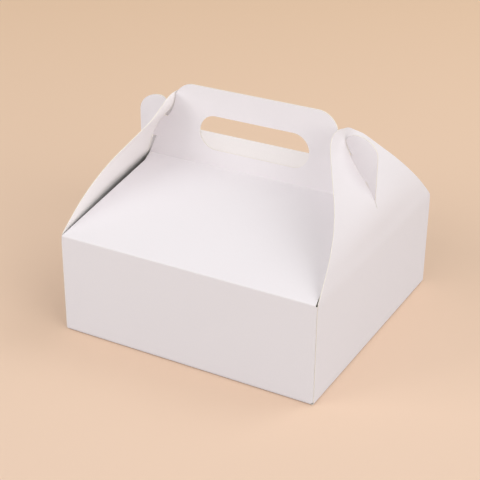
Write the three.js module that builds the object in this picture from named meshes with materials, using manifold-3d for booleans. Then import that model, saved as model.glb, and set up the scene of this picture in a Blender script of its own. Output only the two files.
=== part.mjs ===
// A cake carrier box, folded from one die-cut sheet of white paperboard.
// The tray, the two sloping lids and the two handle panels are one folded piece.
// The top flaps of the side walls, called wings here, swing outwards on their creases.
// Millimetres, +Z up. X runs along the front, Y to the back, and the origin is under the middle of the base.

import * as THREE from 'three';
import { mergeVertices } from 'three/addons/utils/BufferGeometryUtils.js';
import Module from 'manifold-3d';

const wasm = await Module();
wasm.setup();

// Board
const board = 0.5; // thickness of the sheet
const foldRadius = 1; // outer radius of a pressed fold
const foldSteps = 5; // flat facets in a fold
const glueBite = 0.05; // how far glued faces are pressed into each other
const panelOverlap = 0.3; // how far panels that join at a fold run into each other

// Tray
const width = 200; // outside, along X
const depth = 198; // outside, along Y
const wallHeight = 76; // up to the folds of the lids and wings
const sideEdgeSetback = 0.9; // from the front face back to the side wall's cut edge
const sideCornerRise = 6; // height of the slanted corner at the top of a side wall
const sideCornerRun = 1.6; // and its length along Y
const glueFlapLength = 24; // from the corner fold back along the side wall
const glueFlapTaper = 9; // how much lower the flap is at its free end, above and below

// Lids, with insets from the outer face of a side wall
const ridgeHeight = 106; // the fold between lid and handle
const eaveInset = 1.2; // of the lid's edge at the wall
const waistInset = 13.8; // of the lid's edge where it is narrowest
const waistSetback = 9.5; // from the ridge to the narrowest place
const ridgeInset = 12.2; // of the end of the ridge fold

// Handle, with insets from the outer face of a side wall
const handleHeight = 60; // from the ridge to the top edge
const handleInset = 34.8; // of the upper part
const handleCornerRadius = 16;
const layerGap = 0.3; // between the front and the rear panel
const footInset = 18.9; // just under the neck
const neckBottom = 15; // above the ridge
const neckTop = 32; // above the ridge

// Finger hole
const holeHalfLength = 44;
const holeHalfHeight = 13;
const holeRise = 26.4; // from the ridge to the middle of the hole

// Ears, with insets from the outer face of a side wall
const earInset = 5; // of the ear's upright edge
const earInnerInset = 28.6; // of its inner side
const earCrownInset = 22; // of its highest place
const earBottom = 2.5; // all heights from the ridge
const earShoulder = 33;
const earTop = 47;
const earInnerShoulder = 41;

// Wings
const wingSetback = 1.8; // from the front face back to the wing's edge at the crease
const wingSag = 2.2; // how far the long edges are hollowed
const wingTipRadius = 32;
const wingBand = 4.5; // board left above the slit
const creaseGap = 0.3; // between side wall and wing
const foldLean = THREE.MathUtils.degToRad(7.5); // lean at the crease, from upright
const wingLean = THREE.MathUtils.degToRad(33.5); // lean of the middle stretch
const footRun = 12; // length of sheet that stays flat above the crease
const lowerBend = 41; // length of sheet that is bent from one lean to the other
const middleRun = 19; // length of sheet that stays flat above the bend
const tipBendRadius = 27; // the tip curls upright again with this radius
const leftSettle = THREE.MathUtils.degToRad(2.8); // how much further in the left wing leans
const wrapStart = 70; // from this distance to its tip the wing wraps round the handle's edge
const wrapSlope = 0.19; // how far inwards the tip's two halves run, over the distance from the middle
const slitWidth = 2.2;
const slitClearance = 0.9; // between the ears and the ends of the slit
const slitRun = 4.2; // what the slit is longer than needed at its lower end
const earClearance = 0.5; // between the wing and the ears or the handle

const white = 0xf3efef;

const ridgeHalfWidth = width / 2 - ridgeInset;
const handleHalfWidth = width / 2 - handleInset;
const footHalfWidth = width / 2 - footInset;
const earOuter = width / 2 - earInset;
const earInner = width / 2 - earInnerInset;
const earCrown = width / 2 - earCrownInset;
const wingHalfWidth = depth / 2 - wingSetback;

// A closed geometry as a solid for joining and cutting.
function solidOf(geometry) {
  const bare = geometry.index ? geometry.clone() : geometry;
  bare.deleteAttribute('normal');
  bare.deleteAttribute('uv');
  const merged = mergeVertices(bare, 1e-4);
  return new wasm.Manifold(new wasm.Mesh({
    numProp: 3,
    vertProperties: new Float32Array(merged.attributes.position.array),
    triVerts: new Uint32Array(merged.index.array),
  }));
}

// The solid's vertices and triangles as a geometry.
function geometryOf(solid) {
  const mesh = solid.getMesh();
  const geometry = new THREE.BufferGeometry();
  geometry.setAttribute('position', new THREE.BufferAttribute(new Float32Array(mesh.vertProperties), 3));
  geometry.setIndex(new THREE.BufferAttribute(new Uint32Array(mesh.triVerts), 1));
  geometry.computeVertexNormals();
  return geometry;
}

function union(...solids) {
  return solids.reduce((whole, solid) => whole.add(solid));
}

// A prism between two places along one axis. Its shape is drawn in the plane across that axis:
// Y and Z for a prism along X, X and Z along Y, X and Y along Z.
function prism(shape, axis, from, to) {
  const geometry = new THREE.ExtrudeGeometry(shape, {
    depth: to - from,
    bevelEnabled: false,
    curveSegments: 10,
  });
  const x = new THREE.Vector3(1, 0, 0);
  const y = new THREE.Vector3(0, 1, 0);
  const z = new THREE.Vector3(0, 0, 1);
  if (axis === 'x') {
    geometry.translate(0, 0, from);
    geometry.applyMatrix4(new THREE.Matrix4().makeBasis(y, z, x));
  }
  if (axis === 'y') {
    geometry.translate(0, 0, -to);
    geometry.applyMatrix4(new THREE.Matrix4().makeBasis(x, z, y.clone().negate()));
  }
  if (axis === 'z') {
    geometry.translate(0, 0, from);
  }
  return solidOf(geometry);
}

function polygon(points) {
  return new THREE.Shape(points.map(([u, v]) => new THREE.Vector2(u, v)));
}

// The section of a sheet that is folded at each inner corner of a line of panels.
// The corners lie on the sheet's middle plane, and each fold is an arc between two panels.
function foldedSection(corners) {
  const radius = foldRadius - board / 2;
  const left = [];
  const right = [];
  const place = (point, direction) => {
    const normal = new THREE.Vector2(-direction.y, direction.x).multiplyScalar(board / 2);
    left.push(point.clone().add(normal));
    right.push(point.clone().sub(normal));
  };
  const path = corners.map(([u, v]) => new THREE.Vector2(u, v));
  const directions = path.slice(1).map((point, i) => point.clone().sub(path[i]).normalize());
  place(path[0], directions[0]);
  for (let i = 1; i < path.length - 1; i += 1) {
    const before = directions[i - 1];
    const after = directions[i];
    const turn = Math.atan2(before.cross(after), before.dot(after));
    const setback = radius * Math.tan(Math.abs(turn) / 2);
    const start = path[i].clone().addScaledVector(before, -setback);
    const side = new THREE.Vector2(-before.y, before.x).multiplyScalar(Math.sign(turn));
    const centre = start.clone().addScaledVector(side, radius);
    for (let step = 0; step <= foldSteps; step += 1) {
      const angle = (turn * step) / foldSteps;
      const point = start.clone().rotateAround(centre, angle);
      place(point, before.clone().rotateAround(new THREE.Vector2(), angle));
    }
  }
  place(path.at(-1), directions.at(-1));
  return new THREE.Shape([...left, ...right.reverse()]);
}

// The wing's outer face at a distance from the crease, measured along the sheet, on the right side.
// The sheet runs flat, is bent inwards, runs flat again, and its tip curls up.
// An inset moves the point off that face, inwards, and a settle turns the wing inwards about its crease.
function wingPoint(distance, inset = 0, settle = 0) {
  const lowerRadius = lowerBend / (wingLean - foldLean);
  const start = foldLean + settle;
  const onFoot = Math.min(distance, footRun);
  let x = width / 2 - onFoot * Math.sin(start);
  let z = wallHeight + onFoot * Math.cos(start);
  const onLower = THREE.MathUtils.clamp(distance - footRun, 0, lowerBend);
  const lean = start + onLower / lowerRadius;
  x -= lowerRadius * (Math.cos(start) - Math.cos(lean));
  z += lowerRadius * (Math.sin(lean) - Math.sin(start));
  const onMiddle = THREE.MathUtils.clamp(distance - footRun - lowerBend, 0, middleRun);
  x -= onMiddle * Math.sin(lean);
  z += onMiddle * Math.cos(lean);
  const onTip = Math.max(distance - footRun - lowerBend - middleRun, 0);
  const tipLean = lean - onTip / tipBendRadius;
  x -= tipBendRadius * (Math.cos(tipLean) - Math.cos(lean));
  z += tipBendRadius * (Math.sin(lean) - Math.sin(tipLean));
  return [x - inset * Math.cos(tipLean), z - inset * Math.sin(tipLean)];
}

// The distance along the sheet at which the wing is a given straight distance away from its crease.
function sheetDistance(reach) {
  let near = 0;
  let far = 2 * reach;
  for (let i = 0; i < 40; i += 1) {
    const middle = (near + far) / 2;
    const [x, z] = wingPoint(middle);
    if (Math.hypot(width / 2 - x, z - wallHeight) < reach) near = middle;
    else far = middle;
  }
  return near;
}

// The outline of the right ear, before the wing's path is cut from it.
function earOutline() {
  const shape = new THREE.Shape();
  const shoulder = ridgeHeight + earShoulder;
  const innerShoulder = ridgeHeight + earInnerShoulder;
  const top = ridgeHeight + earTop;
  shape.moveTo(earInner, ridgeHeight + earBottom);
  shape.lineTo(earOuter, ridgeHeight + earBottom);
  shape.lineTo(earOuter, shoulder);
  shape.absellipse(earCrown, shoulder, earOuter - earCrown, top - shoulder, 0, Math.PI / 2, false);
  shape.absellipse(earCrown, innerShoulder, earCrown - earInner, top - innerShoulder, Math.PI / 2, Math.PI, false);
  return shape;
}

// The ears swing through the slit on circles about the crease, so the slit spans the ears' reach.
const earReaches = earOutline().getPoints(10).map((point) =>
  Math.hypot(width / 2 - point.x, point.y - wallHeight));
const earLowest = Math.hypot(width / 2 - earOuter, ridgeHeight + earBottom - wallHeight);
const slitStart = sheetDistance(earLowest - slitClearance) - slitRun;
const slitEnd = sheetDistance(Math.max(...earReaches) + slitClearance);
const wingLength = slitEnd + wingBand;

// Half the wing's width at a distance from the crease: two hollow edges that run into a round tip.
function wingOutline() {
  const tipCentre = wingLength - wingTipRadius;
  const toCentre = Math.atan2(tipCentre, wingHalfWidth);
  const tangentTurn = Math.asin(wingTipRadius / Math.hypot(tipCentre, wingHalfWidth));
  const tipStart = Math.PI / 2 - toCentre - tangentTurn;
  const tangentHalfWidth = wingTipRadius * Math.cos(tipStart);
  const tangentDistance = tipCentre + wingTipRadius * Math.sin(tipStart);
  const edgeSteps = 30;
  const tipSteps = 9;
  const rows = [];
  for (let i = 0; i < edgeSteps; i += 1) {
    const share = i / edgeSteps;
    const hollow = 16 * wingSag * share ** 2 * (1 - share) ** 2;
    const distance = creaseGap + (tangentDistance - creaseGap) * share;
    rows.push([distance, wingHalfWidth + (tangentHalfWidth - wingHalfWidth) * share - hollow]);
  }
  const tipEnd = THREE.MathUtils.degToRad(86);
  for (let i = 0; i <= tipSteps; i += 1) {
    const angle = tipStart + ((tipEnd - tipStart) * i) / tipSteps;
    rows.push([tipCentre + wingTipRadius * Math.sin(angle), wingTipRadius * Math.cos(angle)]);
  }
  return rows;
}

// A bent sheet on the wing's curve. Each row holds a distance from the crease and half the width there.
// Near the tip the rows are bent in the middle, with both halves running inwards.
function bentSheet(rows, outerInset, innerInset, settle) {
  const positions = [];
  const index = [];
  for (const [distance, half] of rows) {
    const [outerX, outerZ] = wingPoint(distance, outerInset, settle);
    const [innerX, innerZ] = wingPoint(distance, innerInset, settle);
    const wrap = wrapSlope * THREE.MathUtils.smoothstep(distance, wrapStart, wingLength) * half;
    positions.push(outerX - wrap, -half, outerZ, outerX, 0, outerZ, outerX - wrap, half, outerZ);
    positions.push(innerX - wrap, half, innerZ, innerX, 0, innerZ, innerX - wrap, -half, innerZ);
  }
  for (let row = 0; row < rows.length - 1; row += 1) {
    for (let side = 0; side < 6; side += 1) {
      const a = 6 * row + side;
      const b = 6 * row + ((side + 1) % 6);
      index.push(a, b, b + 6, a, b + 6, a + 6);
    }
  }
  const last = 6 * (rows.length - 1);
  for (const [a, b, c] of [[0, 4, 1], [0, 5, 4], [1, 3, 2], [1, 4, 3]]) {
    index.push(a, b, c, last + a, last + c, last + b);
  }
  const geometry = new THREE.BufferGeometry();
  geometry.setAttribute('position', new THREE.Float32BufferAttribute(positions, 3));
  geometry.setIndex(index);
  return solidOf(geometry);
}

// One wing, on the right side: a bent flap with a slit along its middle.
function wing(settle) {
  const slitRows = [];
  const steps = 16;
  for (let i = 0; i <= steps; i += 1) {
    slitRows.push([slitStart + ((slitEnd - slitStart) * i) / steps, slitWidth / 2]);
  }
  const flap = bentSheet(wingOutline(), 0, board, settle);
  const slit = bentSheet(slitRows, -board, 2 * board, settle);
  return geometryOf(flap.subtract(slit));
}

// The wing's curve at an inset, as points from the crease to past the top of the handle.
function wingCurve(inset, settle) {
  const steps = 24;
  const points = [];
  for (let i = 0; i <= steps; i += 1) {
    points.push(wingPoint((wingLength * i) / steps, inset, settle));
  }
  points.push([points.at(-1)[0], ridgeHeight + handleHeight + board]);
  return points;
}

// The front and back of the box in section: handle, lid, wall, base, wall, lid and handle.
function frontToBackBand() {
  const layer = (layerGap + board) / 2;
  const wall = depth / 2 - board / 2;
  const eave = wallHeight - board / 2;
  const top = ridgeHeight + handleHeight;
  const section = foldedSection([
    [-layer, top],
    [-layer, ridgeHeight],
    [-wall, eave],
    [-wall, board / 2],
    [wall, board / 2],
    [wall, eave],
    [layer, ridgeHeight],
    [layer, top],
  ]);
  return prism(section, 'x', -width / 2, width / 2);
}

// What the front and back walls keep of the band: their flat part between the corner folds.
function wallSpan() {
  const half = width / 2 - board - foldRadius;
  const eave = wallHeight - foldRadius / 2;
  return prism(polygon([[-half, 0], [half, 0], [half, eave], [-half, eave]]), 'y', -depth / 2, depth / 2);
}

// The plan of the two lids, which taper from the walls to a waist and flare again at the ridge.
function lidSpan() {
  const eave = width / 2 - eaveInset;
  const waist = width / 2 - waistInset;
  const right = [
    [eave, -depth / 2],
    [waist, -waistSetback],
    [ridgeHalfWidth, 0],
    [waist, waistSetback],
    [eave, depth / 2],
  ];
  const left = right.map(([x, y]) => [-x, -y]);
  const bottom = wallHeight - foldRadius - panelOverlap;
  return prism(polygon([...right, ...left]), 'z', bottom, ridgeHeight + foldRadius);
}

// The outline of the handle panels: a body with round upper corners, a neck at each end, and the ears.
function handleSpan() {
  const front = -layerGap - 2 * board;
  const back = layerGap + 2 * board;
  const top = ridgeHeight + handleHeight;
  const cornerX = handleHalfWidth - handleCornerRadius;
  const cornerZ = top - handleCornerRadius;
  const bodyShape = new THREE.Shape();
  bodyShape.moveTo(-handleHalfWidth, ridgeHeight);
  bodyShape.lineTo(handleHalfWidth, ridgeHeight);
  bodyShape.lineTo(handleHalfWidth, cornerZ);
  bodyShape.absarc(cornerX, cornerZ, handleCornerRadius, 0, Math.PI / 2, false);
  bodyShape.absarc(-cornerX, cornerZ, handleCornerRadius, Math.PI / 2, Math.PI, false);
  const neckLow = ridgeHeight + neckBottom;
  const neckHigh = ridgeHeight + neckTop;
  const footShape = polygon([
    [-ridgeHalfWidth, ridgeHeight],
    [ridgeHalfWidth, ridgeHeight],
    [footHalfWidth, neckLow],
    [footHalfWidth, cornerZ],
    [-footHalfWidth, cornerZ],
    [-footHalfWidth, neckLow],
  ]);
  const inner = wingCurve(board + earClearance, leftSettle);
  const insideShape = polygon([...inner, ...inner.map(([x, z]) => [-x, z]).reverse()]);
  const inside = prism(insideShape, 'y', front, back);
  const body = prism(bodyShape, 'y', front, back);
  const foot = prism(footShape, 'y', front, back);
  const outer = wingCurve(-earClearance, 0);
  const outsideShape = polygon([[width, wallHeight], [width, top + board], ...outer.reverse()]);
  const ear = prism(earOutline(), 'y', front, back).intersect(prism(outsideShape, 'y', front, back));
  const neckEnd = (earOuter + earCrown) / 2;
  const neck = prism(
    polygon([[-neckEnd, neckLow], [neckEnd, neckLow], [neckEnd, neckHigh], [-neckEnd, neckHigh]]),
    'y', front, back);
  return union(body.add(foot).intersect(inside), neck, ear, ear.rotate([0, 0, 180]));
}

// The finger hole: whole in the front panel, and only its upper half in the rear one.
function fingerHole() {
  const middle = ridgeHeight + holeRise;
  const straight = holeHalfLength - holeHalfHeight;
  const reach = layerGap + 2 * board;
  const whole = new THREE.Shape();
  whole.absarc(straight, middle, holeHalfHeight, -Math.PI / 2, Math.PI / 2, false);
  whole.absarc(-straight, middle, holeHalfHeight, Math.PI / 2, 1.5 * Math.PI, false);
  const upper = new THREE.Shape();
  upper.absarc(straight, middle, holeHalfHeight, 0, Math.PI / 2, false);
  upper.absarc(-straight, middle, holeHalfHeight, Math.PI / 2, Math.PI, false);
  return union(prism(whole, 'y', -reach, 0), prism(upper, 'y', -layerGap / 2, reach));
}

// The side walls and the base between them, cut slanting at the upper corners.
function sideToSideBand() {
  const wall = width / 2 - board / 2;
  const edge = depth / 2 - sideEdgeSetback;
  const section = foldedSection([
    [-wall, wallHeight],
    [-wall, board / 2],
    [wall, board / 2],
    [wall, wallHeight],
  ]);
  const outline = polygon([
    [-edge, 0],
    [edge, 0],
    [edge, wallHeight - sideCornerRise],
    [edge - sideCornerRun, wallHeight],
    [-edge + sideCornerRun, wallHeight],
    [-edge, wallHeight - sideCornerRise],
  ]);
  const band = prism(section, 'y', -edge, edge);
  return band.intersect(prism(outline, 'x', -width / 2, width / 2));
}

// The front wall's two corner folds, with the glue flaps that run back along the side walls.
function cornerFlaps() {
  const flap = width / 2 - 1.5 * board + glueBite;
  const wall = depth / 2 - board / 2;
  const end = depth / 2 - glueFlapLength;
  const section = foldedSection([
    [-flap, -end],
    [-flap, -wall],
    [flap, -wall],
    [flap, -end],
  ]);
  const outline = polygon([
    [-depth / 2, foldRadius],
    [-end, foldRadius + glueFlapTaper],
    [-end, wallHeight - foldRadius - glueFlapTaper],
    [-depth / 2, wallHeight - foldRadius],
  ]);
  const band = prism(section, 'z', foldRadius, wallHeight - foldRadius);
  return band.intersect(prism(outline, 'x', -width / 2, width / 2));
}

function carton() {
  const spans = union(wallSpan(), lidSpan(), handleSpan());
  const panels = frontToBackBand().intersect(spans).subtract(fingerHole());
  const flaps = cornerFlaps();
  return geometryOf(union(panels, sideToSideBand(), flaps, flaps.rotate([0, 0, 180])));
}

function paperboard() {
  return new THREE.MeshStandardMaterial({ color: white, roughness: 0.8, metalness: 0 });
}

function piece(name, geometry) {
  const mesh = new THREE.Mesh(geometry, paperboard());
  mesh.name = name;
  return mesh;
}

const box = new THREE.Group();
const rightWing = piece('right_wing', wing(0));
const leftWing = piece('left_wing', wing(leftSettle));
leftWing.rotation.z = Math.PI;
box.add(piece('carton', carton()), leftWing, rightWing);

export default box;
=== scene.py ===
import math

import bmesh
import bpy
import numpy as np
from mathutils import Matrix, Vector


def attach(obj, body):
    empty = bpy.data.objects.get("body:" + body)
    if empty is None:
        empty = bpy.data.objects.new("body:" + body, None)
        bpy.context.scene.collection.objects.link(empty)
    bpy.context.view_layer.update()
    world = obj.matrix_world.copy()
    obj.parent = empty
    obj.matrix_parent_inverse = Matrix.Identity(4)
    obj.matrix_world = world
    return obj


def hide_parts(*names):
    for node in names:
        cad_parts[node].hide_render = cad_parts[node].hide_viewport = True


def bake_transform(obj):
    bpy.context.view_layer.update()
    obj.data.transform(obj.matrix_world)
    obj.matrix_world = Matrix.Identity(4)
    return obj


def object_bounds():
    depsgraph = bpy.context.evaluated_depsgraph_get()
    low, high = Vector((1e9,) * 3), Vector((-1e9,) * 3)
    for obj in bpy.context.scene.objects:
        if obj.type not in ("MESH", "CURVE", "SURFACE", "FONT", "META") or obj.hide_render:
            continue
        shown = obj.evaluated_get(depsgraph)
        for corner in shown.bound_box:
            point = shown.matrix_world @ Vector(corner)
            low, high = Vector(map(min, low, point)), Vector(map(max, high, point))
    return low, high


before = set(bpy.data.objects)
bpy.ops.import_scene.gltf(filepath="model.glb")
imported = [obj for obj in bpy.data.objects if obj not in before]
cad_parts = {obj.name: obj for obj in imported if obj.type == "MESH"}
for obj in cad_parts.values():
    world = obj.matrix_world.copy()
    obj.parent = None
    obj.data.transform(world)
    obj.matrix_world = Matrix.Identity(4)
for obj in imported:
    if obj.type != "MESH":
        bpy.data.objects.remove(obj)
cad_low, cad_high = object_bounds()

# The camera stands in front of the box, to its right and above it, and looks down on the front corner.
# Its long lens keeps the upright edges nearly parallel.
azimuth, elevation, roll = np.radians([28.67, 26.95, 0.563])
aside, above, away = -0.0086, 0.0481, 0.9282  # from the middle of the base, along the camera's own axes

camera_data = bpy.data.cameras.new("camera")
camera_data.sensor_fit = "HORIZONTAL"
camera_data.sensor_width = 36
camera_data.lens = 91.83
camera = bpy.data.objects.new("camera", camera_data)
bpy.context.collection.objects.link(camera)
turned = Matrix.Rotation(azimuth, 4, "Z") @ Matrix.Rotation(math.pi / 2 - elevation, 4, "X")
camera.matrix_world = turned @ Matrix.Rotation(roll, 4, "Z") @ Matrix.Translation((aside, above, away))
bpy.context.scene.camera = camera
bpy.context.scene.view_settings.view_transform = "Standard"


# The two side walls, each with the wing that carries on above its crease. They are panels of the white
# paperboard sheet, coated outside, and the ears of the handle pass through a slit in each wing.
BOARD = 0.0005  # thickness of the sheet
BASE_FOLD = 0.0016  # outer radius of the folds round the base
FOLD = 0.001  # outer radius of the other folds
CLEARANCE = 0.0005  # between a wing and the ears or the handle
half_width, half_depth = cad_high[0], cad_high[1]
base_half = half_width - 0.002  # half the width of the base, up to the side walls' lower folds
wall_height = 0.076
side_half = half_depth - 0.0009  # half the length of a side wall, whose cut edge is set back
side_corner = 0.006  # height of the slanted corner at the top of a side wall

wing_half = 0.0972  # half the wing's width at the crease
right_length, left_length = 0.0871, 0.0905  # from the crease to the tip, which stands higher on the left
wing_hollow = 0.0022  # how far the long edges are hollowed
wing_tip, tip_flat = 0.032, 0.0008  # radius of the tip's two corners, and half the straight edge between them
slit_at = (0.0262, 0.0275, 0.044, 0.052, 0.064, 0.072, 0.0821)  # distances from the crease along the slit
slit_half = (0, 0.0002, 0.0003, 0.0009, 0.0009, 0.0003, 0)  # half its width there, most at the handle's neck

crease_reach = 0.004  # how far the crease's bend runs into the panels on either side
crease_rows = (-0.001, 0.0014)  # distances from the crease, between which the sheet has close rows
crease_lean, middle_lean, left_settle = np.radians([7.5, 33.5, 2.8])
foot_end, bend_end, tip_start = 0.012, 0.053, 0.072  # where the wing's flat and bent stretches end
tip_bend = 0.027  # the tip curls upright again with this radius
right_flex, left_flex = 0.0018, -0.003  # how far the middle of a wing is pushed out below, and in above
wrap_start, wrap_round = 0.0727, 0.012  # where the tip starts to wrap round the handle's edge, and its radius
right_wrap, left_wrap = 0.15, 0.06  # how steeply the tip's halves run inwards
right_rise, left_rise = 0.31, 0.0  # how much its front half slides up, over the distance from the middle


def display(red, green, blue):
    """The light behind a display colour: c / 12.92 below 0.04045, and ((c + 0.055) / 1.055) ** 2.4 above."""
    c = np.array([red, green, blue]) / 255
    return (*np.where(c > 0.04045, ((c + 0.055) / 1.055) ** 2.4, c / 12.92), 1)


def paper_fibre():
    """Fibre and tone of paperboard: soft clouds and short fibres, both noise over the flat sheet."""
    group = bpy.data.node_groups.new("paper_fibre", "ShaderNodeTree")
    for name, kind in (("Place", "NodeSocketVector"), ("Colour", "NodeSocketColor"),
                       ("Cloud", "NodeSocketFloat"), ("Fibre", "NodeSocketFloat"),
                       ("Matt", "NodeSocketFloat")):
        group.interface.new_socket(name, in_out="INPUT", socket_type=kind)
    for name, kind in (("Colour", "NodeSocketColor"), ("Roughness", "NodeSocketFloat"),
                       ("Height", "NodeSocketFloat")):
        group.interface.new_socket(name, in_out="OUTPUT", socket_type=kind)
    nodes, links = group.nodes, group.links
    given, result = nodes.new("NodeGroupInput"), nodes.new("NodeGroupOutput")

    def noise(scale, detail, stretch):
        """Noise with this many blobs to the metre, drawn out by a stretch along the sheet."""
        mapping, texture = nodes.new("ShaderNodeMapping"), nodes.new("ShaderNodeTexNoise")
        mapping.inputs["Scale"].default_value = (1, stretch, 1)
        texture.inputs["Scale"].default_value = scale
        texture.inputs["Detail"].default_value = detail
        links.new(given.outputs["Place"], mapping.inputs["Vector"])
        links.new(mapping.outputs["Vector"], texture.inputs["Vector"])
        return texture.outputs["Fac"]

    def math_node(operation, first, second, third=None):
        """One arithmetic step on sockets or numbers."""
        node = nodes.new("ShaderNodeMath")
        node.operation = operation
        for socket, value in zip(node.inputs, (first, second, third)):
            if isinstance(value, bpy.types.NodeSocket):
                links.new(value, socket)
            elif value is not None:
                socket.default_value = value
        return node.outputs["Value"]

    clouds = math_node("SUBTRACT", noise(18, 3, 1), 0.5)
    fibres = math_node("SUBTRACT", noise(1400, 4, 0.3), 0.5)
    shade = math_node("MULTIPLY_ADD", clouds, given.outputs["Cloud"], 1)
    shade = math_node("MULTIPLY_ADD", fibres, given.outputs["Fibre"], shade)
    toned = nodes.new("ShaderNodeVectorMath")
    toned.operation = "SCALE"
    links.new(given.outputs["Colour"], toned.inputs[0])
    links.new(shade, toned.inputs["Scale"])
    links.new(toned.outputs["Vector"], result.inputs["Colour"])
    links.new(math_node("MULTIPLY_ADD", fibres, 0.15, given.outputs["Matt"]), result.inputs["Roughness"])
    links.new(fibres, result.inputs["Height"])
    return group


def paperboard(name, colour, cloud, fibre, matt, relief):
    """One face of the sheet: its colour with the fibre's tone, and the fibre's relief as a bump."""
    material = bpy.data.materials.new(name)
    material.use_nodes = True
    nodes, links = material.node_tree.nodes, material.node_tree.links
    shader, place = nodes["Principled BSDF"], nodes.new("ShaderNodeAttribute")
    surface, bump = nodes.new("ShaderNodeGroup"), nodes.new("ShaderNodeBump")
    place.attribute_name = "blank"
    surface.node_tree = fibre_group
    surface.inputs["Colour"].default_value = colour
    surface.inputs["Cloud"].default_value = cloud
    surface.inputs["Fibre"].default_value = fibre
    surface.inputs["Matt"].default_value = matt
    bump.inputs["Strength"].default_value = 0.3
    bump.inputs["Distance"].default_value = relief
    shader.inputs["Specular IOR Level"].default_value = 0.3
    links.new(place.outputs["Vector"], surface.inputs["Place"])
    links.new(surface.outputs["Colour"], shader.inputs["Base Color"])
    links.new(surface.outputs["Roughness"], shader.inputs["Roughness"])
    links.new(surface.outputs["Height"], bump.inputs["Height"])
    links.new(bump.outputs["Normal"], shader.inputs["Normal"])
    return material


fibre_group = paper_fibre()
faces_of_board = (
    paperboard("coated_board", display(240, 236, 240), 0.02, 0.03, 0.6, 0.00002),
    # The inside face is painted a little paler than the coated outside. This is partly the uncoated face's
    # own colour and partly painted light, standing in for light that shines through the single sheet behind
    # the handle's hole.
    paperboard("board_inside", display(243, 239, 239), 0.03, 0.05, 0.75, 0.00004),
    paperboard("cut_edge", display(246, 240, 230), 0.02, 0.1, 0.85, 0.00006),
)


def patch(points, blank):
    """Quads over a grid of points, rows by columns, with each point's place on the flat sheet."""
    rows, columns = points.shape[:2]
    corner = np.arange(rows * columns).reshape(rows, columns)
    around = (corner[:-1, :-1], corner[:-1, 1:], corner[1:, 1:], corner[1:, :-1])
    return points.reshape(-1, 3), blank.reshape(-1, 3), np.stack(around, axis=-1).reshape(-1, 4)


def mirrored(part, axis):
    """The patch on the other side of the plane across an axis, with its faces turned to point outwards."""
    points, blank, faces = part
    sign = np.where(np.arange(3) == axis, -1, 1)
    return points * sign, blank * sign, faces[:, ::-1]


def board_piece(name, parts):
    """Joins patches at their common edges into one sheet, with the board's thickness and three faces."""
    firsts = np.cumsum([0] + [len(points) for points, _, _ in parts[:-1]])
    mesh = bpy.data.meshes.new(name)
    mesh.from_pydata(
        np.concatenate([points for points, _, _ in parts]), [],
        np.concatenate([faces + first for (_, _, faces), first in zip(parts, firsts)]))
    blank = mesh.attributes.new("blank", "FLOAT_VECTOR", "POINT")
    blank.data.foreach_set("vector", np.concatenate([places for _, places, _ in parts]).ravel())
    joined = bmesh.new()
    joined.from_mesh(mesh)
    bmesh.ops.remove_doubles(joined, verts=joined.verts, dist=1e-6)
    joined.to_mesh(mesh)
    joined.free()
    edges = np.empty(len(mesh.loops), dtype=np.int32)
    mesh.loops.foreach_get("edge_index", edges)
    cut = mesh.attributes.new("sharp_edge", "BOOLEAN", "EDGE")
    cut.data.foreach_set("value", np.bincount(edges, minlength=len(mesh.edges)) == 1)
    for material in faces_of_board:
        mesh.materials.append(material)
    mesh.shade_smooth()
    piece = bpy.data.objects.new(name, mesh)
    bpy.context.collection.objects.link(piece)
    thickness = piece.modifiers.new("thickness", "SOLIDIFY")
    thickness.thickness = BOARD
    thickness.offset = 0
    thickness.use_even_offset = True
    thickness.material_offset = 1
    thickness.material_offset_rim = 2
    return piece


def steps(*stretches):
    """Rising values: each stretch gives its first value, its last and the number of steps between them."""
    values = [np.linspace(first, last, count + 1) for first, last, count in stretches]
    return np.unique(np.concatenate(values).round(9))


def fold_arc(before, corner, after, radius, count=8):
    """The arc of a fold, tangent to both panels. It starts radius * tan(turn / 2) before the corner."""
    before, corner, after = map(np.array, (before, corner, after))
    going = (corner - before) / np.linalg.norm(corner - before)
    leaving = (after - corner) / np.linalg.norm(after - corner)
    turn = math.atan2(going[0] * leaving[1] - going[1] * leaving[0], going @ leaving)
    side = np.sign(turn) * np.array([-going[1], going[0]])
    angle = np.abs(turn) * np.linspace(0, 1, count + 1)[:, None]
    start = corner - going * radius * math.tan(abs(turn) / 2)
    return start + radius * (np.sin(angle) * going + (1 - np.cos(angle)) * side)


def wing_line(distance, settle, offset=0.0):
    """x and z on the right side over the distance from the crease, on the sheet's middle or offset outwards.
    The lean runs straight between its values at the bends. x and z are the sums of its sine and cosine."""
    fine = np.linspace(-wall_height, left_length + wing_tip, 4001)
    end_lean = middle_lean - (fine[-1] - tip_start) / tip_bend
    lean = np.interp(
        fine,
        [-crease_reach, crease_reach, foot_end, bend_end, tip_start, fine[-1]],
        [0, *(settle + np.array([crease_lean, crease_lean, middle_lean, middle_lean, end_lean]))])
    pace = fine[1] - fine[0]
    x = half_width - BOARD / 2 - np.concatenate([[0], np.cumsum(np.sin(lean[:-1]))]) * pace
    z = np.concatenate([[0], np.cumsum(np.cos(lean[:-1]))]) * pace
    at = [np.interp(distance, fine, values) for values in (x, z, lean)]
    return at[0] + offset * np.cos(at[2]), at[1] + offset * np.sin(at[2]), at[2]


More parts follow.
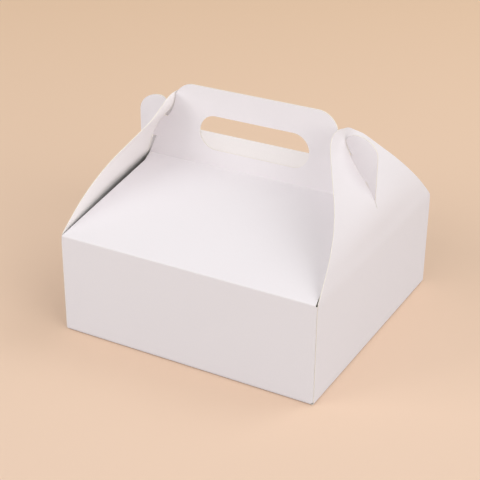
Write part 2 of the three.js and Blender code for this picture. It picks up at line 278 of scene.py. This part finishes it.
def side_outline(distance, length):
    """Half the panel's width: the wall, its slanted corner, the wing's hollow edge and the tip's corner.
    The hollow is 16 t^2 (1 - t)^2 along the edge, and the edge is tangent to the corner's circle."""
    tip_centre, reach = length - wing_tip, wing_half - tip_flat
    slant = math.atan2(tip_centre, reach) + math.asin(wing_tip / math.hypot(tip_centre, reach))
    tangent_at, tangent_half = tip_centre + wing_tip * math.cos(slant), tip_flat + wing_tip * math.sin(slant)
    half = np.interp(distance, [-side_corner, 0, tangent_at], [side_half, wing_half, tangent_half])
    share = np.clip(distance / tangent_at, 0, 1)
    half = half - 16 * wing_hollow * share ** 2 * (1 - share) ** 2
    round_half = tip_flat + np.sqrt(np.maximum(wing_tip ** 2 - (distance - tip_centre) ** 2, 0))
    return np.where(distance > tangent_at, round_half, half)


def side_panel(length, settle, flex, wrap, rise):
    """The right side wall and its wing, from the lower fold to the wing's tip, in two halves beside the slit.
    Their columns stand closer together towards the slit."""
    lower = fold_arc((base_half, BOARD / 2), (half_width - BOARD / 2, BOARD / 2),
                     (half_width - BOARD / 2, wall_height), BASE_FOLD - BOARD / 2)
    tip = length - wing_tip * (1 - np.sin(np.linspace(0, math.pi / 2, 31)))
    rows = np.unique(np.concatenate([
        steps((lower[-1, 1] - wall_height, -side_corner, 24), (-side_corner, crease_rows[0], 5),
              (*crease_rows, 8), (crease_rows[1], tip[0], 44)),
        slit_at, tip]).round(9))
    x, z, lean = wing_line(rows, settle)
    half = side_outline(rows, length)
    slit = np.interp(rows, slit_at, slit_half)
    foot = np.concatenate([[[base_half, BOARD / 2]], lower[:-1]])
    foot_length = np.concatenate([[0], np.cumsum(np.linalg.norm(np.diff(foot, axis=0), axis=1))])
    x, z = np.concatenate([foot[:, 0], x]), np.concatenate([foot[:, 1], z])
    lean = np.concatenate([np.zeros(len(foot)), lean])
    half = np.concatenate([np.full(len(foot), side_half), half])
    slit = np.concatenate([np.zeros(len(foot)), slit])
    along = base_half + np.concatenate([foot_length, foot_length[-1] + rows - rows[0]])
    share = np.linspace(0, 1, 41) ** 1.2
    y = slit[:, None] + (half - slit)[:, None] * share
    # The push of the ears: one wave along the slit, which fades as (1 - share^2)^2 towards the edges.
    above_crease = np.concatenate([np.full(len(foot), -1), rows])
    turn = math.pi * np.clip(above_crease / length, 0, 1)
    wave = np.sin(2 * turn) * np.sin(turn)
    pushed = flex * wave[:, None] * (1 - share ** 2) ** 2
    # The wrap round the handle's edge: w^2 (3 - 2 w) from its start to the tip, times sqrt(y^2 + r^2) - r.
    # There the front half also slides up in proportion to y, and the rear half down by half as much.
    w = np.clip((above_crease - wrap_start) / (length - wrap_start), 0, 1)[:, None]
    near_tip = w ** 2 * (3 - 2 * w)
    wrapped = wrap * near_tip * (np.hypot(y, wrap_round) - wrap_round)
    slide = np.stack([0 * y, 0 * y, rise * near_tip * y], axis=-1)
    points = np.stack([
        x[:, None] + pushed * np.cos(lean)[:, None] - wrapped, y,
        z[:, None] + pushed * np.sin(lean)[:, None]], axis=-1)
    blank = np.stack([along[:, None] + 0 * y, y, 0 * y], axis=-1)
    return [patch(points - slide / 2, blank), mirrored(patch(points + slide, blank), 1)]


def place_side(name, parts, wing):
    """The side wall and its wing as one piece. The CAD wing is hidden in its place, and the piece's placing
    is baked into its points. The crease bends between the wall and the wing.
    """
    piece = board_piece(name, parts)
    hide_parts(wing)
    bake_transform(piece)


right_panel = side_panel(right_length, 0, right_flex, right_wrap, right_rise)
left_panel = side_panel(left_length, left_settle, left_flex, left_wrap, left_rise)
place_side("right_side", right_panel, "right_wing")
place_side("left_side", [mirrored(part, 0) for part in left_panel], "left_wing")


# The tray, lids and handle: the base, the front and back walls with their glue flaps, the two sloping lids,
# and the two handle panels with their ears. They are one strip of the sheet, folded from the base up.
eave_half, waist_half, ridge_half = 0.0988, 0.0862, 0.0878  # half the lid's width from the wall to the ridge
waist_setback = 0.0095  # from the ridge to the lid's narrowest place
ridge_height = 0.106
handle_low = ridge_height + 0.0006  # just above the ridge's fold
top = cad_high[2]
layer = 0.0003  # from the middle of the handle to the middle of either panel
same_row = 1e-7  # rows of the strip that lie closer than this are one

body_half, body_corner = 0.0652, 0.016  # half the handle's width above, and the radius of its corners
neck_half = 0.0811  # half the width under the neck
neck_low, neck_high = ridge_height + 0.015, ridge_height + 0.032
hole_half, hole_radius = 0.044, 0.013
hole_height = ridge_height + 0.0264
hole_straight = hole_half - hole_radius

ear_out, ear_crown, ear_in = 0.095, 0.078, 0.0714  # from the middle to the ear's edge, crown and inner side
ear_low, ear_shoulder = ridge_height + 0.0025, ridge_height + 0.033
ear_inner_shoulder, ear_top = ridge_height + 0.041, ridge_height + 0.047

flap_length, flap_taper = 0.024, 0.009
flap_gap = 0.00005  # between a glue flap and the side wall
flap_place = half_width - 1.5 * BOARD - flap_gap  # middle of a glue flap's board
corner_start = flap_place - FOLD + BOARD / 2  # where the wall's corner fold starts

through = np.linspace(0, left_length, 400)
inner_x, inner_z, _ = wing_line(through, left_settle, -BOARD / 2 - CLEARANCE)
outer_x, outer_z, _ = wing_line(through, 0, BOARD / 2 + CLEARANCE)

handle_rows = np.unique(np.concatenate([
    steps((handle_low, hole_height - hole_radius, 8),
          (hole_height + hole_radius, top - body_corner, 3)),
    hole_height - hole_radius * np.cos(np.linspace(0, math.pi, 33)),
    [neck_low, neck_high],
    top - body_corner * (1 - np.sin(np.linspace(0, math.pi / 2, 17)))]).round(9))


def handle_half(z):
    """Half the handle's width: the foot, which tapers to the neck, the wing's inner line, a round corner."""
    foot = np.interp(z, [ridge_height, neck_low], [ridge_half, neck_half])
    corner = body_half - body_corner + np.sqrt(
        np.maximum(body_corner ** 2 - np.maximum(z - top + body_corner, 0) ** 2, 0))
    return np.minimum(np.where(z > top - body_corner, corner, foot), np.interp(z, inner_z, inner_x))


def ear_sides(z):
    """The ear's sides: the inner edge or the wing's outer line, and the outer edge. They end in ellipses."""
    lift_in = np.clip((z - ear_inner_shoulder) / (ear_top - ear_inner_shoulder), 0, 1)
    lift_out = np.clip((z - ear_shoulder) / (ear_top - ear_shoulder), 0, 1)
    inner = ear_crown - (ear_crown - ear_in) * np.sqrt(1 - lift_in ** 2)
    outer = ear_crown + (ear_out - ear_crown) * np.sqrt(1 - lift_out ** 2)
    return np.minimum(np.maximum(inner, np.interp(z, outer_z, outer_x)), outer), outer


def half_strip(split, hole_low):
    """The quarter of the strip at front and right. Its columns divide at a split, which is the hole's edge
    above hole_low. On the base they slide to even spacing, so that the front and the back half meet."""
    wall = half_depth - BOARD / 2
    slide_end = wall - 0.01  # where the base's columns reach the split
    corners = [(0, BOARD / 2), (-wall, BOARD / 2), (-wall, wall_height - BOARD / 2),
               (-layer, ridge_height), (-layer, top)]
    middle = FOLD - BOARD / 2
    base_arc = fold_arc(*corners[0:3], BASE_FOLD - BOARD / 2)
    eave_arc, ridge_arc = fold_arc(*corners[1:4], middle), fold_arc(*corners[2:5], middle)
    base = np.linspace((0, BOARD / 2), base_arc[0], 13)
    wall_rows = np.linspace(base_arc[-1, 1], wall_height - FOLD, 25)
    front = np.stack([np.full(len(wall_rows), -wall), wall_rows], axis=-1)
    lid_y = steps((eave_arc[-1, 0], -waist_setback, 30), (-waist_setback, ridge_arc[0, 0], 6))
    slope = (ridge_arc[0, 1] - eave_arc[-1, 1]) / (ridge_arc[0, 0] - eave_arc[-1, 0])
    lid = np.stack([lid_y, eave_arc[-1, 1] + slope * (lid_y - lid_y[0])], axis=-1)
    handle = np.stack([np.full(len(handle_rows), -layer), handle_rows], axis=-1)
    line = np.concatenate([base[:-1], base_arc, front[1:], eave_arc, lid[1:-1], ridge_arc, handle])
    line = line[np.concatenate([[True], np.linalg.norm(np.diff(line, axis=0), axis=1) > same_row])]
    y, z = line.T
    length = np.concatenate([[0], np.cumsum(np.linalg.norm(np.diff(line, axis=0), axis=1))])
    on_handle, on_wall = z > ridge_arc[-1, 1] - same_row, z < wall_height - FOLD + same_row
    on_base = z < base_arc[-1, 1] - same_row
    half = np.interp(-y, [0, waist_setback, half_depth], [ridge_half, waist_half, eave_half])
    half = np.where(on_handle, handle_half(z), half)
    half = np.where(on_wall, corner_start, half)
    half = np.where(on_base, np.interp(z, [BOARD / 2, base_arc[-1, 1]], [base_half, corner_start]), half)

    near_count, far_count = 14, 26
    arc = np.sqrt(np.maximum(hole_radius ** 2 - (z - hole_height) ** 2, 0))
    edge = np.where(z > hole_low - same_row, hole_straight + arc, split)
    even = base_half * near_count / (near_count + far_count)
    edge = np.where(on_base, np.interp(-y, [0, slide_end], [even, split]), edge)

    def block(keep, left, right, count):
        """A patch over the kept rows, with its columns spread evenly between two edges."""
        x = left[keep, None] + (right - left)[keep, None] * np.linspace(0, 1, count + 1)
        points = np.stack([x, y[keep, None] + 0 * x, z[keep, None] + 0 * x], axis=-1)
        return patch(points, np.stack([x, -length[keep, None] + 0 * x, 0 * x], axis=-1))

    every = np.ones(len(z), dtype=bool)
    neck = on_handle & (z > neck_low - same_row) & (z < neck_high + same_row)
    parts = [
        block(z < hole_low + same_row, 0 * z, edge, near_count),
        block(z > hole_height + hole_radius - same_row, 0 * z, edge, near_count),
        block(every, edge, half, far_count),
        block(neck, half, ear_sides(z)[0], 5)]

    # The ear, which the neck joins to the handle.
    ear_z = np.concatenate([
        np.linspace(ear_low, neck_low, 9)[:-1], z[neck],
        ear_top - (ear_top - neck_high) * (1 - np.sin(np.linspace(0, math.pi / 2, 25)[1:]))])
    sides = ear_sides(ear_z)
    ear_x = sides[0][:, None] + (sides[1] - sides[0])[:, None] * np.linspace(0, 1, 13)
    ear_length = length[on_handle][0] + ear_z - z[on_handle][0]
    parts.append(patch(
        np.stack([ear_x, 0 * ear_x - layer, ear_z[:, None] + 0 * ear_x], axis=-1),
        np.stack([ear_x, -ear_length[:, None] + 0 * ear_x, 0 * ear_x], axis=-1)))

    # The glue flap, folded round the corner of the wall and tapered towards its end.
    plan = np.concatenate([
        fold_arc((0, -wall), (flap_place, -wall), (flap_place, 0), middle),
        np.linspace((flap_place, middle - wall), (flap_place, flap_length - half_depth), 13)[1:]])
    run = np.concatenate([[0], np.cumsum(np.linalg.norm(np.diff(plan, axis=0), axis=1))])
    rise = (wall_rows - wall_rows[0]) / (wall_rows[-1] - wall_rows[0])
    taper = flap_taper * run / run[-1]
    flap_z = wall_rows[0] + taper + (wall_rows[-1] - wall_rows[0] - 2 * taper) * rise[:, None]
    wall_length = length[np.searchsorted(z[on_wall], wall_rows[0] - same_row)]
    parts.append(patch(
        np.stack([plan[:, 0] + 0 * flap_z, plan[:, 1] + 0 * flap_z, flap_z], axis=-1),
        np.stack([corner_start + run + 0 * flap_z, -wall_length - flap_z, 0 * flap_z], axis=-1)))
    return parts


front_right = half_strip(hole_straight, hole_height - hole_radius)
back_right = [mirrored(part, 1) for part in half_strip(hole_half, hole_height)]
strip = front_right + back_right
folded_sheet = board_piece("tray_lids_and_handle", strip + [mirrored(part, 0) for part in strip])
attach(folded_sheet, "carton")
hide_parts("carton")


# The floor that the box stands on: a plain beige studio surface, a little paler towards the camera.
# The light that it throws back on the white board is weak and nearly grey, as in the photograph.
floor_size = 8
floor_drop = 0.0002  # from the base's underside down to the floor
fade_start, fade_end = -0.8, 0.3  # the far colour turns to the near one between these, towards the camera
floor_mesh = bpy.data.meshes.new("floor")
floor_corners = np.array([(-1, -1), (1, -1), (1, 1), (-1, 1)]) * floor_size / 2
floor_mesh.from_pydata([(x, y, -floor_drop) for x, y in floor_corners], [], [(0, 1, 2, 3)])
floor = bpy.data.objects.new("floor", floor_mesh)
bpy.context.collection.objects.link(floor)

floor_material = bpy.data.materials.new("studio_floor")
floor_material.use_nodes = True
floor_nodes, floor_links = floor_material.node_tree.nodes, floor_material.node_tree.links
floor_place, forward = floor_nodes.new("ShaderNodeTexCoord"), floor_nodes.new("ShaderNodeVectorMath")
forward.operation = "DOT_PRODUCT"
forward.inputs[1].default_value = (math.sin(azimuth), -math.cos(azimuth), 0)
floor_share = floor_nodes.new("ShaderNodeMapRange")
floor_share.inputs["From Min"].default_value = fade_start
floor_share.inputs["From Max"].default_value = fade_end
floor_links.new(floor_place.outputs["Object"], forward.inputs[0])
floor_links.new(forward.outputs["Value"], floor_share.inputs["Value"])


def floor_mix(share, first, second):
    """A mix of two colours, each a value or a socket."""
    mix = floor_nodes.new("ShaderNodeMix")
    mix.data_type = "RGBA"
    floor_links.new(share, mix.inputs["Factor"])
    for socket, colour in zip([s for s in mix.inputs if s.type == "RGBA"], (first, second)):
        if isinstance(colour, bpy.types.NodeSocket):
            floor_links.new(colour, socket)
        else:
            socket.default_value = colour
    return [s for s in mix.outputs if s.type == "RGBA"][0]


def seen_ray(nodes, links):
    """One for rays from the camera, straight or over a mirror or through glass, and zero for the rest."""
    path, total = nodes.new("ShaderNodeLightPath"), None
    for name in ("Is Camera Ray", "Is Glossy Ray", "Is Transmission Ray"):
        node = nodes.new("ShaderNodeMath")
        node.operation = "MAXIMUM"
        links.new(path.outputs[name], node.inputs[0])
        node.inputs[1].default_value = 0
        if total:
            links.new(total, node.inputs[1])
        total = node.outputs["Value"]
    return total


floor_far, floor_near, floor_bounce = display(246, 213, 182), display(239, 211, 189), (0.42, 0.35, 0.31, 1)
floor_shader = floor_nodes["Principled BSDF"]
floor_shader.inputs["Roughness"].default_value = 0.9
floor_shader.inputs["Specular IOR Level"].default_value = 0.1
floor_colour = floor_mix(floor_share.outputs["Result"], floor_far, floor_near)
floor_links.new(floor_mix(seen_ray(floor_nodes, floor_links), floor_bounce, floor_colour),
                floor_shader.inputs["Base Color"])
floor_mesh.materials.append(floor_material)


# The light: an even white surround, a key lamp behind and to the right, and large soft lamps in front and
# at the sides, so that every shadow is faint.
lamp_target = Vector((0, 0, 0.08))  # the middle of the box


def lamp(name, place, size, power, colour=(1, 1, 1)):
    """A square lamp that faces the middle of the box."""
    data = bpy.data.lights.new(name, "AREA")
    data.color = colour
    data.size = size
    data.energy = power
    light = bpy.data.objects.new(name, data)
    bpy.context.collection.objects.link(light)
    light.location = place
    light.rotation_euler = (Vector(place) - lamp_target).to_track_quat("Z", "Y").to_euler()


lamp("key", (1.1, 1.0, 1.9), 1.4, 13.8, (0.95, 0.97, 1))
lamp("front", (-0.5, -2.4, 1.4), 2.0, 12.2)
lamp("front_left", (-1.8, -1.8, 1.0), 1.6, 22.5)
lamp("right", (2.3, -0.9, 1.05), 2.0, 29.5, (1, 0.985, 0.965))
lamp("top", (0, 0, 2.6), 2.0, 2.7)

world = bpy.data.worlds.new("studio")
bpy.context.scene.world = world
world.use_nodes = True
world_nodes, world_links = world.node_tree.nodes, world.node_tree.links
surround, backdrop = world_nodes["Background"], world_nodes.new("ShaderNodeBackground")
surround.inputs["Color"].default_value = (1, 0.985, 0.955, 1)
surround.inputs["Strength"].default_value = 0.433
backdrop.inputs["Color"].default_value = floor_far
chosen = world_nodes.new("ShaderNodeMixShader")
world_links.new(seen_ray(world_nodes, world_links), chosen.inputs["Fac"])
world_links.new(surround.outputs["Background"], chosen.inputs[1])
world_links.new(backdrop.outputs["Background"], chosen.inputs[2])
world_links.new(chosen.outputs["Shader"], world_nodes["World Output"].inputs["Surface"])
